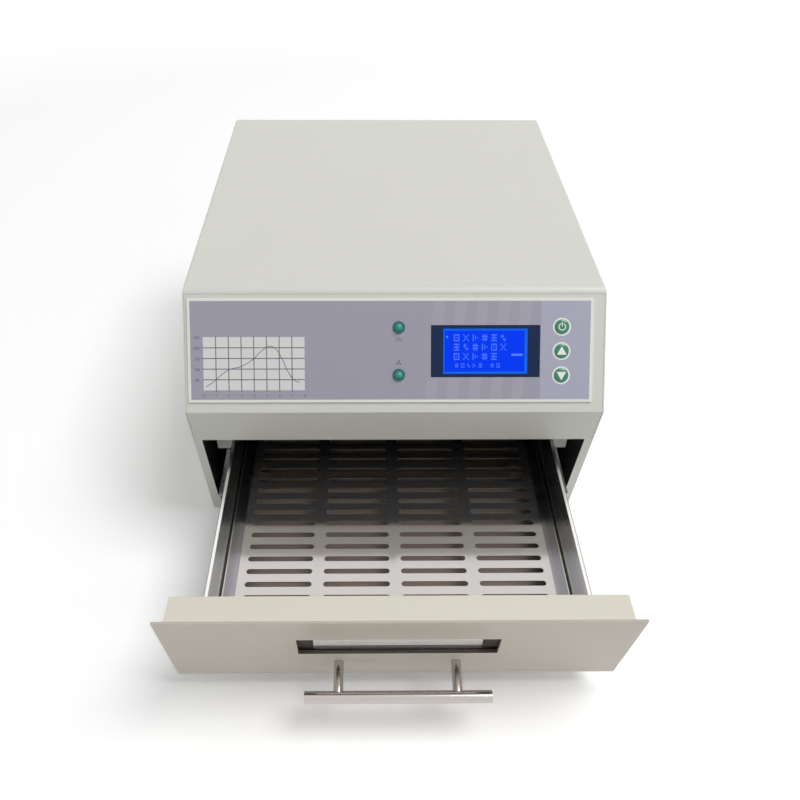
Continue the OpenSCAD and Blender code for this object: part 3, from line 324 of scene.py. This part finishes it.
# Painted shade: the outer edge of the rim is made mid grey
split(steel, linear(140, 140, 140), 0.4, rim_edge)
floor_steel = finish("drawer_floor_steel", linear(160, 148, 138), 0.4, metal=0.5, vary=0.08, grain=420,
                     stretch=(1, 0.04, 1), depth=0.00001)
polished = finish("polished_steel", linear(192, 187, 182), 0.16, metal=1.0, vary=0.04, grain=600,
                  stretch=(0.05, 1, 1), depth=0.000004, gloss=0.05)
galvanised = finish("galvanised_steel", linear(172, 174, 176), 0.38, metal=1.0, vary=0.12, cloud=60,
                    grain=300, depth=0.00001, gloss=0.1)
# Steel for the chamber hood, much darker than the other steel
dark_metal = finish("dark_hood_steel", linear(50, 52, 58), 0.45, metal=1.0, vary=0.15, cloud=30,
                    grain=500, depth=0.00001, gloss=0.1)
tray_metal = finish("tray_steel", linear(208, 204, 201), 0.12, metal=0.95, vary=0.03,
                    stretch=(1, 0.06, 1), depth=0.000003, gloss=0.04)
strip_metal = finish("strip_grey", linear(162, 159, 165), 0.16, metal=1.0, vary=0.06,
                     stretch=(1, 0.05, 1), depth=0.000008)
slide_metal = finish("slide_zinc", linear(200, 202, 206), 0.28, metal=1.0, vary=0.08, cloud=40,
                     grain=700, stretch=(1, 0.05, 1), depth=0.000006, gloss=0.08)
screw_metal = finish("screw_zinc", linear(196, 196, 194), 0.3, metal=1.0, vary=0.06, cloud=200,
                     grain=2500, depth=0.000006)
foil = finish("bright_lining", linear(253, 252, 248), 0.34, metal=1.0, vary=0.03, cloud=180,
              grain=500, depth=0.00008, gloss=0.12)
# Painted shade: the front edge of the lining is made dark
split(foil, linear(66, 60, 54), 0.5, front_of_lining)
# Aluminium for the reflector, much darker than bare aluminium
reflector_mat = finish("dark_reflector_aluminium", linear(74, 76, 84), 0.35, metal=1.0, vary=0.03,
                       grain=700, stretch=(0.05, 1, 1), depth=0.000005)
ring_metal = finish("lamp_ring", linear(52, 104, 106), 0.3, metal=0.7, cloud=160, grain=1400,
                    depth=0.00001)
varnish = finish("transformer_lamination", linear(92, 84, 76), 0.45, metal=0.4, vary=0.2, cloud=80,
                 grain=1500, stretch=(1, 1, 6), depth=0.00008)

# Plastic, rubber and graphite
black_plastic = finish("black_plastic", linear(34, 34, 36), 0.5, vary=0.12, cloud=60, grain=1600,
                       depth=0.00003)
navy_gloss = finish("navy_gloss", linear(4, 32, 71), 0.25, vary=0.08, cloud=60, grain=1600,
                    depth=0.000006, ior=1.32)
rubber = finish("black_rubber", linear(30, 30, 30), 0.72, vary=0.15, cloud=90, grain=1200, depth=0.00006)
beige_block = finish("beige_block", linear(214, 206, 184), 0.55, cloud=60, grain=1200, depth=0.00003)
board_green = finish("circuit_board", linear(24, 92, 56), 0.35, vary=0.12, cloud=120, depth=0.00002,
                     coat=0.4)
green_key = finish("green_key", linear(38, 127, 94), 0.3, vary=0.06, cloud=160, grain=1400,
                   depth=0.00001, coat=0.3)
gasket = finish("gasket_graphite", linear(92, 84, 73), 0.85, vary=0.1, cloud=120, grain=1500, depth=0.0002)


# Wool

def wool(name):
    """Pale mineral wool, pressed into layers."""
    return finish(name, linear(206, 196, 160), 0.95, vary=0.16, cloud=120, grain=500, depth=0.0008,
                  stretch=(1, 1, 3))


wool_mat = wool("mineral_wool")
chamber_wool_and_shade = wool("chamber_wool")
# Painted shade: the front of the chamber wool is made nearly black
split(chamber_wool_and_shade, linear(34, 35, 44), 0.95, front_of_wool)

# Glass and ceramic
WINDOW_ALPHA = 0.1
quartz = finish("quartz_tube", linear(240, 238, 232), 0.12, vary=0.02, grain=500, depth=0.00001,
                sheer=0.75, ior=1.46)
ceramic = finish("white_ceramic", linear(236, 232, 222), 0.5, vary=0.03, cloud=60, grain=1400,
                 depth=0.00002)
glass = finish("window_glass", linear(252, 254, 253), 0.04, vary=0.01, grain=300, depth=0.000001,
               sheer=1.0, gloss=0.01)
glass.node_tree.nodes["Principled BSDF"].inputs["Alpha"].default_value = WINDOW_ALPHA

# Lit pieces
green_lens = finish("green_lens", linear(4, 132, 118), 0.2, vary=0.1, cloud=160, depth=0.00001,
                    coat=0.2, glow=linear(4, 126, 112), power=0.2)
screen_blue = finish("screen_blue", linear(4, 30, 120), 0.16, vary=0.08, cloud=30, grain=1600,
                     depth=0.000004, ior=1.12, glow=linear(0, 56, 246), power=0.78)
screen_rim = finish("screen_rim", linear(10, 70, 100), 0.2, vary=0.08, cloud=60, grain=1600,
                    depth=0.000004, ior=1.12, glow=linear(16, 90, 235), power=0.85)
screen_mark = finish("screen_mark", linear(60, 90, 220), 0.3, cloud=60, grain=1600,
                     depth=0.000004, ior=1.12, glow=linear(64, 106, 246), power=0.8)

FINISH = {
    cream: ["back_panel"],
    front_paint: ["front_fascia"],
    box_paint: ["drawer_box"],
    cover_paint: ["outer_cover"],
    bracket_paint: ["slide_bracket_left", "slide_bracket_right"],
    plate_paint: ["control_plate"],
    satin_paint: ["drawer_plate"],
    galvanised: ["base_pan", "electronics_shelf", "exhaust_duct", "floor_shield"],
    dark_metal: ["chamber_hood"],
    lilac: ["panel_film"],
    navy_gloss: ["display_frame"],
    screen_blue: ["display_screen"],
    ring_metal: ["lamp_rings"],
    green_lens: ["lamp_lenses"],
    board_green: ["controller_board"],
    screw_metal: ["board_standoffs", "foot_screws", "housing_screws", "thermocouples", "fan_guards"],
    green_key: ["key_power", "key_up", "key_down"],
    wool_mat: ["floor_wool", "drawer_wool"],
    chamber_wool_and_shade: ["chamber_wool"],
    reflector_mat: ["reflector"],
    quartz: ["heater_tubes"],
    ceramic: ["heater_caps"],
    varnish: ["power_transformer"],
    black_plastic: ["relay_module", "exhaust_fan_frame", "exhaust_fan_rotor", "cooling_fan_frame",
                    "cooling_fan_rotor", "power_inlet", "fuse_drawer", "switch_body", "switch_rocker"],
    beige_block: ["terminal_block"],
    rubber: ["feet"],
    slide_metal: ["slide_outer_left", "slide_outer_right", "slide_middle_left", "slide_middle_right",
                  "slide_inner_left", "slide_inner_right"],
    glass: ["window_glass"],
    gasket: ["window_gaskets"],
    foil: ["window_lining"],
    steel: ["drawer_side_left", "drawer_side_right"],
    floor_steel: ["drawer_floor"],
    tray_metal: ["tray"],
    strip_metal: ["tray_strips"],
    polished: ["handle"],
}
for mat, names in FINISH.items():
    for name in names:
        slots = nodes[name].data.materials
        for i in range(len(slots)):
            slots[i] = mat


# Flat printed shapes, in the panel's millimetres

def rect(x0, v0, x1, v1):
    """A rectangle between two opposite corners."""
    return [(x0, -v1), (x1, -v1), (x1, -v0), (x0, -v0)]


def disc(x, v, r, n=48):
    """A round outline of n points."""
    turns = [2 * math.pi * i / n for i in range(n)]
    return [(x + r * math.cos(turn), -v + r * math.sin(turn)) for turn in turns]


def ring(x, v, r0, r1, n=48):
    """A flat ring, as a list of four-sided pieces."""
    inner = disc(x, v, r0, n)
    outer = disc(x, v, r1, n)
    return [[inner[i], outer[i], outer[(i + 1) % n], inner[(i + 1) % n]] for i in range(n)]


def stroke(points, width):
    """A line through points, as a list of four-sided pieces with mitred joints."""
    line = [Vector(p) for p in points]
    sides = []
    for i, p in enumerate(line):
        a = (p - line[i - 1]).normalized() if i else (line[1] - p).normalized()
        b = (line[i + 1] - p).normalized() if i + 1 < len(line) else a
        across = Vector((-(a + b).y, (a + b).x)).normalized()
        sides.append((p + across * width / 2, p - across * width / 2))
    return [[sides[i][0], sides[i][1], sides[i + 1][1], sides[i + 1][0]] for i in range(len(sides) - 1)]


def add(name, mesh, mat, body):
    """A piece of print that rides on body."""
    obj = bpy.data.objects.new(name, mesh)
    bpy.context.scene.collection.objects.link(obj)
    mesh.materials.append(mat)
    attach(obj, body)
    return obj


def flat(name, shapes, z, mat, body="housing"):
    """Printed shapes at height z over the panel, as one mesh."""
    mesh = bpy.data.meshes.new(name)
    bm = bmesh.new()
    for shape in shapes:
        bm.faces.new([bm.verts.new(PANEL @ Vector((p[0], p[1], z))) for p in shape])
    bm.normal_update()
    bm.to_mesh(mesh)
    bm.free()
    return add(name, mesh, mat, body)


def number(name, text, x, v, size, z, mat):
    """A plain number printed on the panel, centred on x and v."""
    curve = bpy.data.curves.new(name, "FONT")
    curve.body = text
    curve.size = size
    curve.align_x = "CENTER"
    curve.align_y = "CENTER"
    obj = bpy.data.objects.new(name, curve)
    bpy.context.scene.collection.objects.link(obj)
    mesh = bpy.data.meshes.new_from_object(obj.evaluated_get(bpy.context.evaluated_depsgraph_get()))
    bpy.data.objects.remove(obj)
    mesh.transform(PANEL @ Matrix.Translation((x, -v, z)))
    mesh.materials.clear()
    return add(name, mesh, mat, "housing")


# Tones and leaning bands on the film
TONE_GAP = 0.7
BANDS = 5
BAND_X = FRAME_X[0] - 5.7
BAND_PITCH = 19
BAND_WIDTH = 10
BAND_LEAN = 0.09
BAND_GAP = 0.3


def band(x, v0, v1):
    """The stretch from v0 to v1 of the band that ends at x on the film's lower edge."""
    high = x + (FILM_V[1] - v0) * BAND_LEAN
    low = x + (FILM_V[1] - v1) * BAND_LEAN
    return [(low, -v1), (low + BAND_WIDTH, -v1), (high + BAND_WIDTH, -v0), (high, -v0)]


flat("film_right_tone", [rect(FRAME_X[1] + TONE_GAP, FILM_V[0], FILM_X[1], FILM_V[1])], TONE_Z, lilac_deep)
bands = []
for i in range(BANDS):
    bands.append(band(BAND_X + BAND_PITCH * i, FILM_V[0], FRAME_V[0] - BAND_GAP))
    bands.append(band(BAND_X + BAND_PITCH * i, FRAME_V[1] + BAND_GAP, FILM_V[1]))
flat("film_bands", bands, TONE_Z, lilac_pale)

# Chart of heat over time, with plain numbers at both axes
CHART_X = (FILM_X[0] + 10.9, FILM_X[0] + 99.4)
CHART_V = (FILM_V[1] - 54.6, FILM_V[1] - 8.1)
COLUMNS = 8
ROWS = 5
GRID_LINE = 0.9
TICK_UP = 0.8
TICK_DOWN = 1.5
TICK_LEFT = 1
CURVE_LINE = 0.55
# Points of the curve, to the right of the chart's lower left corner and up from it
CURVE = [(1.9, 2.8), (6.5, 5.9), (11.1, 9.5), (16.5, 14.3), (21.6, 17.9), (27.5, 19.5), (32.7, 20.6),
         (38.5, 23.6), (44.2, 27.5), (49.9, 33.5), (55.4, 38.0), (59.8, 38.6), (63.5, 36.3),
         (66.4, 32.2), (69.9, 25.1), (72.9, 18.1), (75.5, 13.3), (78.2, 10.0), (81.0, 7.7), (84.0, 6.7)]
HIGHEST = 250
HEIGHT_STEP = 50
HEIGHT_SIZE = 3.3
HEIGHT_LEFT = 5.6
HEIGHT_DROP = 0.6
TIME_SIZE = 3.0
TIME_DROP = 4.8


def along(span, i, count):
    """The place of step i out of count along a span."""
    return span[0] + (span[1] - span[0]) * i / count


flat("chart_field", [rect(CHART_X[0], CHART_V[0], CHART_X[1], CHART_V[1])], FIELD_Z, ink_chart)
grid = []
for i in range(1, COLUMNS):
    x = along(CHART_X, i, COLUMNS)
    grid.append(rect(x - GRID_LINE / 2, CHART_V[0] - TICK_UP, x + GRID_LINE / 2, CHART_V[1] + TICK_DOWN))
for i in range(1, ROWS):
    v = along(CHART_V, i, ROWS)
    grid.append(rect(CHART_X[0] - TICK_LEFT, v - GRID_LINE / 2, CHART_X[1], v + GRID_LINE / 2))
flat("chart_grid", grid, GRID_Z, ink_grey)
curve = [(CHART_X[0] + right, up - CHART_V[1]) for right, up in CURVE]
flat("chart_curve", stroke(curve, CURVE_LINE), CURVE_Z, ink_dark)
for i in range(ROWS):
    number(f"chart_height_{i}", str(HIGHEST - HEIGHT_STEP * i), CHART_X[0] - HEIGHT_LEFT,
           along(CHART_V, i, ROWS) + HEIGHT_DROP, HEIGHT_SIZE, GRID_Z, ink_blue)
for i in range(COLUMNS + 1):
    number(f"chart_time_{i}", str(i), along(CHART_X, i, COLUMNS), CHART_V[1] + TIME_DROP,
           TIME_SIZE, GRID_Z, ink_blue)

# Rings round the keys
RING_R = (6.5, 7.9)
for name, (x, v) in KEYS.items():
    flat(f"ring_{name}", ring(x, v, RING_R[0], RING_R[1]), MARK_Z, ink_white)

# A small mark at each lamp: three waves for heat, three blades for cooling
WAVE_DROP = 10.4
WAVE_PITCH = 2.2
WAVE_SWING = 0.45
WAVE_TURN = 14.0
WAVE_STEPS = 10
WAVE_HEIGHT = 3.2
WAVE_LINE = 0.45
BLADE_LIFT = 10.6
# Radius of each outer corner of a blade and its turn in radians
BLADE = ((2.1, -0.5), (2.3, 0.0), (1.8, 0.35))


def heat_waves(x, v):
    """Three upright waves round the point x, v."""
    pieces = []
    for k in (-1, 0, 1):
        shares = [t / WAVE_STEPS for t in range(WAVE_STEPS + 1)]
        wave = [(x + k * WAVE_PITCH + WAVE_SWING * math.sin(WAVE_TURN * share),
                 -v + WAVE_HEIGHT * (0.5 - share)) for share in shares]
        pieces += stroke(wave, WAVE_LINE)
    return pieces


def cooling_blades(x, v):
    """Three pointed blades round the point x, v."""
    blades = []
    for k in range(3):
        turn = math.radians(90 + 120 * k)
        corners = [(x + r * math.cos(turn + swing), -v + r * math.sin(turn + swing)) for r, swing in BLADE]
        blades.append([(x, -v)] + corners)
    return blades


flat("mark_heat", heat_waves(LAMP_X, LAMP_V[0] + WAVE_DROP), MARK_Z, ink_dark)
flat("mark_cooling", cooling_blades(LAMP_X, LAMP_V[1] - BLADE_LIFT), MARK_Z, ink_dark)

# Symbols on the keys
ARROW_WIDTH = 4.2
ARROW_BASE = 3.1
ARROW_TIP = 4.3
POWER_R = (2.5, 3.3)
POWER_LINE = 0.8
# Pieces of the ring that its gap leaves out, and the bar's ends above the ring's middle
POWER_GAP = range(9, 15)
POWER_BAR = (4.0, 0.4)


def arrow(x, v, way):
    """A triangle that points up for way 1 and down for way -1, with its face outwards."""
    points = [(x - ARROW_WIDTH, -v - ARROW_BASE * way), (x + ARROW_WIDTH, -v - ARROW_BASE * way),
              (x, -v + ARROW_TIP * way)]
    return points[::way]


def power_mark(x, v):
    """A ring that is open at the top, with a short bar in the gap."""
    pieces = ring(x, v, POWER_R[0], POWER_R[1])
    bow = [piece for i, piece in enumerate(pieces) if i not in POWER_GAP]
    return bow + [rect(x - POWER_LINE / 2, v - POWER_BAR[0], x + POWER_LINE / 2, v - POWER_BAR[1])]


flat("symbol_up", [arrow(*KEYS["up"], 1)], SYMBOL_Z, ink_white, "up_key")
flat("symbol_down", [arrow(*KEYS["down"], -1)], SYMBOL_Z, ink_white, "down_key")
flat("symbol_power", power_mark(*KEYS["power"]), SYMBOL_Z, ink_white, "power_key")

# Display: a lighter rim, level strips and upright ones, and four rows of plain dot marks
EDGE_LEVEL = 1.8
EDGE_LEFT = 1.2
EDGE_RIGHT = 2.6
MARKS = ["0111110 0100010 0101010 0100010 0111110", "0010100 0111110 0010100 0111110 0010100",
         "0100010 0010100 0001000 0010100 0100010", "0111110 0001000 0111110 0001000 0111110",
         "0100000 0101000 0101010 0101000 0100000", "0010000 0111000 0010000 0001110 0000100"]
DOT_RATIO = 1.25
DOT_FILL = 0.86
TEXT_X = SCREEN_X[0] + 8.3
TEXT_V = SCREEN_V[0] + 4.95
TEXT_PITCH = 8.2
TEXT_DOT = 1.0
TEXT_COUNTS = (6, 6, 5)
SMALL_X = SCREEN_X[0] + 9.8
SMALL_V = SCREEN_V[0] + 30.35
SMALL_PITCH = 5.2
SMALL_DOT = 0.62
SMALL_COUNT = 8
SMALL_SPACE = 5
# Corners of two blocks, from the screen's upper left corner
CURSOR = (2.4, 6.35, 4.2, 8.15)
BAR = (59.8, 21.95, 69.8, 23.95)


def mark(pattern, x, v, dot):
    """The dots of one mark, from its upper left corner at x, v."""
    tall = dot * DOT_RATIO
    return [rect(x + col * dot, v + row * tall, x + (col + DOT_FILL) * dot, v + (row + DOT_FILL) * tall)
            for row, line in enumerate(pattern.split()) for col, on in enumerate(line) if on == "1"]


inner_v = (SCREEN_V[0] + EDGE_LEVEL, SCREEN_V[1] - EDGE_LEVEL)
flat("screen_edge", [rect(SCREEN_X[0], SCREEN_V[0], SCREEN_X[1], inner_v[0]),
                     rect(SCREEN_X[0], inner_v[1], SCREEN_X[1], SCREEN_V[1]),
                     rect(SCREEN_X[0], inner_v[0], SCREEN_X[0] + EDGE_LEFT, inner_v[1]),
                     rect(SCREEN_X[1] - EDGE_RIGHT, inner_v[0], SCREEN_X[1], inner_v[1])],
     EDGE_Z, screen_rim)
dots = []
for row, count in enumerate(TEXT_COUNTS):
    for i in range(count):
        pattern = MARKS[(i * 2 + row * 3 + i // 3) % len(MARKS)]
        dots += mark(pattern, TEXT_X + i * TEXT_PITCH, TEXT_V + row * TEXT_PITCH, TEXT_DOT)
for i in range(SMALL_COUNT):
    if i != SMALL_SPACE:
        dots += mark(MARKS[(i * 5 + 1) % len(MARKS)], SMALL_X + i * SMALL_PITCH, SMALL_V, SMALL_DOT)
for x0, v0, x1, v1 in (CURSOR, BAR):
    dots.append(rect(SCREEN_X[0] + x0, SCREEN_V[0] + v0, SCREEN_X[0] + x1, SCREEN_V[0] + v1))
flat("screen_marks", dots, DOTS_Z, screen_mark)

# Floor and world
FLOOR_RADIUS = 9
# Distances from the middle in metres, and how strongly the floor is lifted there
LIFT_FROM = 1.2
LIFT_TO = 5.0
LIFT_NEAR = 0.16
LIFT_FAR = 0.9
WORLD_LIGHT = 0.35


def seen_level(tree, base, seen_value):
    """A strength of seen_value where the surface is seen, also in metal and through glass, else base."""
    path = tree.nodes.new("ShaderNodeLightPath")
    seen = path.outputs["Is Camera Ray"]
    for ray in ("Is Glossy Ray", "Is Transmission Ray"):
        either = tree.nodes.new("ShaderNodeMath")
        either.operation = "MAXIMUM"
        tree.links.new(seen, either.inputs[0])
        tree.links.new(path.outputs[ray], either.inputs[1])
        seen = either.outputs["Value"]
    level = tree.nodes.new("ShaderNodeMath")
    level.operation = "MULTIPLY_ADD"
    level.inputs[1].default_value = seen_value - base
    level.inputs[2].default_value = base
    tree.links.new(seen, level.inputs[0])
    return level.outputs["Value"]


bpy.ops.mesh.primitive_circle_add(vertices=96, radius=FLOOR_RADIUS, fill_type="NGON", location=(0, 0, 0))
floor = bpy.context.object
floor.name = "floor"
pale = finish("pale_floor", (0.94, 0.94, 0.94, 1), 0.7, vary=0.005, grain=200, depth=0.00001)
tree = pale.node_tree
reach = tree.nodes.new("ShaderNodeVectorMath")
reach.operation = "LENGTH"
tree.links.new(next(n for n in tree.nodes if n.type == "TEX_COORD").outputs["Object"], reach.inputs[0])
# The far floor is lifted more, so that it meets the white of the world
rise = tree.nodes.new("ShaderNodeMapRange")
rise.inputs["From Min"].default_value = LIFT_FROM
rise.inputs["From Max"].default_value = LIFT_TO
rise.inputs["To Min"].default_value = LIFT_NEAR
rise.inputs["To Max"].default_value = LIFT_FAR
tree.links.new(reach.outputs["Value"], rise.inputs["Value"])
lifted = tree.nodes.new("ShaderNodeMath")
lifted.operation = "MULTIPLY"
tree.links.new(seen_level(tree, 0.0, 1.0), lifted.inputs[0])
tree.links.new(rise.outputs["Result"], lifted.inputs[1])
shader = tree.nodes["Principled BSDF"]
shader.inputs["Emission Color"].default_value = (1, 1, 1, 1)
tree.links.new(lifted.outputs["Value"], shader.inputs["Emission Strength"])
floor.data.materials.append(pale)

world = bpy.data.worlds.new("studio")
bpy.context.scene.world = world
world.use_nodes = True
background = world.node_tree.nodes["Background"]
background.inputs["Color"].default_value = (1.0, 1.0, 1.0, 1)
world.node_tree.links.new(seen_level(world.node_tree, WORLD_LIGHT, 1.0), background.inputs["Strength"])


# Lamps

def area_light(name, place, aim, size, power):
    """A square or oblong lamp at place that shines towards aim, in metres and watts."""
    data = bpy.data.lights.new(name, "AREA")
    data.shape = "RECTANGLE"
    data.size, data.size_y = size
    data.energy = power
    obj = bpy.data.objects.new(name, data)
    bpy.context.scene.collection.objects.link(obj)
    obj.location = place
    obj.rotation_euler = (Vector(aim) - Vector(place)).to_track_quat("-Z", "Y").to_euler()


area_light("key_light", place=(3.0, -0.6, 6.8), aim=(0, 0, 0.1), size=(3.6, 3.6), power=350)
area_light("fill_light", place=(3.2, -3.4, 2.6), aim=(0, -0.2, 0.15), size=(2.4, 2.4), power=12)

# Camera: place in metres, focal length and sensor in millimetres
EYE = (-0.02309, -0.71207, 0.63345)
EYE_RIGHT = (0.9999, -0.0089, 0.0051)
EYE_FORWARD = (0.0100, 0.7434, -0.6688)
FOCAL_LENGTH = 34.485
SENSOR = 36
SHIFT_X = 0.0295

camera = bpy.data.cameras.new("photo_view")
camera.sensor_width = SENSOR
camera.lens = FOCAL_LENGTH
camera.shift_x = SHIFT_X
camera.clip_start = 0.01
camera.clip_end = 100
eye = bpy.data.objects.new("photo_view", camera)
bpy.context.scene.collection.objects.link(eye)
forward = Vector(EYE_FORWARD).normalized()
up = Vector(EYE_RIGHT).cross(forward).normalized()
right = forward.cross(up).normalized()
turn = Matrix((right, up, -forward)).transposed().to_4x4()
eye.matrix_world = Matrix.Translation(EYE) @ turn
scene = bpy.context.scene
scene.camera = eye
scene.view_settings.view_transform = "Standard"
